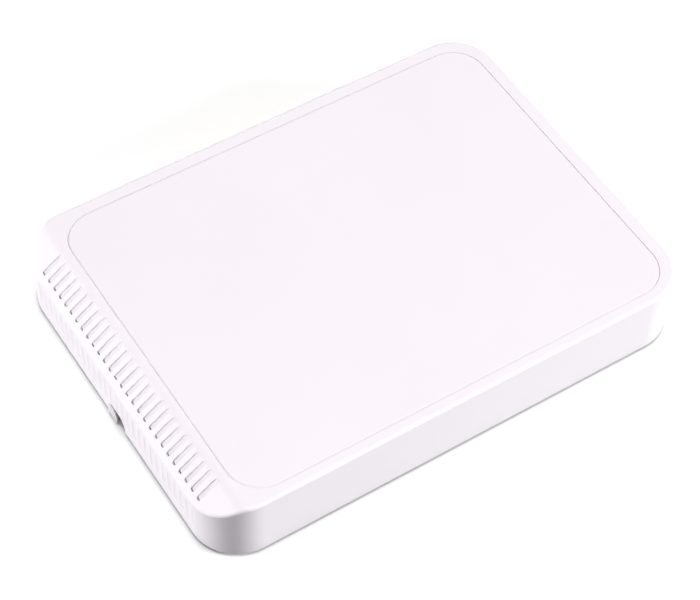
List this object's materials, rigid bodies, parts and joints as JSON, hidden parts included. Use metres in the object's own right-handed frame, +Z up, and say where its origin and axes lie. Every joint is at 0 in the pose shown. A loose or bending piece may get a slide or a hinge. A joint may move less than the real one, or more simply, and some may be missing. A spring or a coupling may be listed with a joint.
{
  "type": "optical network terminal",
  "caption": "Flat white desk-top fibre terminal with a plate let into its roof, a vented sloping end, rear sockets, push buttons, indicator lights and a sliding release latch.",
  "frame": {"origin": "on the desk, below the middle of the case's plan", "axes": "+Z up; +X along the case towards the plain end with the buttons, -X the vented end with the latch; +Y towards the side with the sockets"},
  "size_m": [0.1933, 0.1459, 0.028],
  "materials": {
    "case_white": "fine moulded texture, warm white",
    "plate_white": "smooth satin white plate",
    "base_white": "moulded texture, light grey-white",
    "latch_white": "satin light grey plastic",
    "button_white": "smooth white plastic",
    "foot_rubber": "soft light grey rubber",
    "light_pipe": "clear moulded acrylic",
    "steel": "zinc-plated steel",
    "can_steel": "tinned sheet steel",
    "jack_yellow": "moulded yellow plastic",
    "jack_grey": "moulded grey plastic",
    "part_black": "black moulded plastic",
    "contact_gold": "gold-plated contacts",
    "adapter_green": "moulded green plastic",
    "cap_clear": "soft pale plastic",
    "ceramic": "polished white ceramic",
    "board_green": "green solder mask over copper tracks",
    "chip_black": "black epoxy package",
    "sink_aluminium": "extruded natural aluminium",
    "thermal_gel": "soft grey-blue silicone pad",
    "sleeve_metal": "dark printed-free sleeve over an aluminium can",
    "ferrite": "pressed ferrite",
    "lamp_white": "white lamp package",
    "aerial_board": "thin coated board with copper",
    "lead_black": "thin black coaxial lead"
  },
  "bodies": {
    "root": {"top_shell": "case_white", "top_panel": "plate_white", "bottom_shell": "base_white", "port_panel": "case_white", "rubber_feet": "foot_rubber", "case_screws": "steel", "light_guide": "light_pipe", "power_switch": "part_black", "wlan_switch": "part_black", "wps_switch": "part_black", "reset_switch": "part_black", "main_board": "board_green", "board_screws": "steel", "soc_chip": "chip_black", "thermal_pad": "thermal_gel", "soc_heatsink": "sink_aluminium", "heatsink_pins": "button_white", "memory_chip": "chip_black", "flash_chip": "chip_black", "wifi_chip_2g": "chip_black", "wifi_chip_5g": "chip_black", "wifi_shield_2g": "can_steel", "wifi_shield_5g": "can_steel", "optical_module": "can_steel", "optical_shield": "can_steel", "sc_adapter": "adapter_green", "ferrule_sleeve": "ceramic", "lan_jack_1": "jack_yellow", "lan_jack_2": "jack_yellow", "lan_jack_3": "jack_yellow", "lan_jack_4": "jack_yellow", "lan_contacts": "contact_gold", "tel_jack": "jack_grey", "tel_contacts": "contact_gold", "usb_port": "can_steel", "usb_tongue": "part_black", "dc_jack": "part_black", "dc_pin": "can_steel", "leds": "lamp_white", "lan_transformers": "chip_black", "capacitors": "sleeve_metal", "inductors": "ferrite", "regulators": "chip_black", "crystals": "can_steel", "phone_chip": "chip_black", "aerial_left": "aerial_board", "aerial_right": "aerial_board", "aerial_lead_left": "lead_black", "aerial_lead_right": "lead_black", "lead_plugs": "contact_gold"},
    "latch": {"release_latch": "latch_white"},
    "power_key": {"power_button": "button_white", "power_plunger": "button_white"},
    "wlan_key": {"wlan_button": "button_white", "wlan_plunger": "button_white"},
    "wps_key": {"wps_button": "button_white", "wps_plunger": "button_white"},
    "reset_key": {"reset_plunger": "button_white"},
    "dust_cap": {"optical_dust_cap": "cap_clear"}
  },
  "joints": [
    {"name": "latch_slide", "type": "slide", "parent": "root", "child": "latch", "axis": [0, -1, 0], "range_m": [0, 0.004]},
    {"name": "power_press", "type": "slide", "parent": "root", "child": "power_key", "axis": [0, -1, 0], "range_m": [0, 0.0025], "stiffness_N_per_m": 480, "springref_m": -0.00208},
    {"name": "wlan_press", "type": "slide", "parent": "root", "child": "wlan_key", "axis": [-1, 0, 0], "range_m": [0, 0.0003], "stiffness_N_per_m": 1000, "springref_m": -0.0005},
    {"name": "wps_press", "type": "slide", "parent": "root", "child": "wps_key", "axis": [-1, 0, 0], "range_m": [0, 0.0003], "stiffness_N_per_m": 1000, "springref_m": -0.0005},
    {"name": "reset_press", "type": "slide", "parent": "root", "child": "reset_key", "axis": [0, -1, 0], "range_m": [0, 0.0003], "stiffness_N_per_m": 1000, "springref_m": -0.0003},
    {"name": "dust_cap_pull", "type": "slide", "parent": "root", "child": "dust_cap", "axis": [0, 1, 0], "range_m": [0, 0.012]}
  ]
}
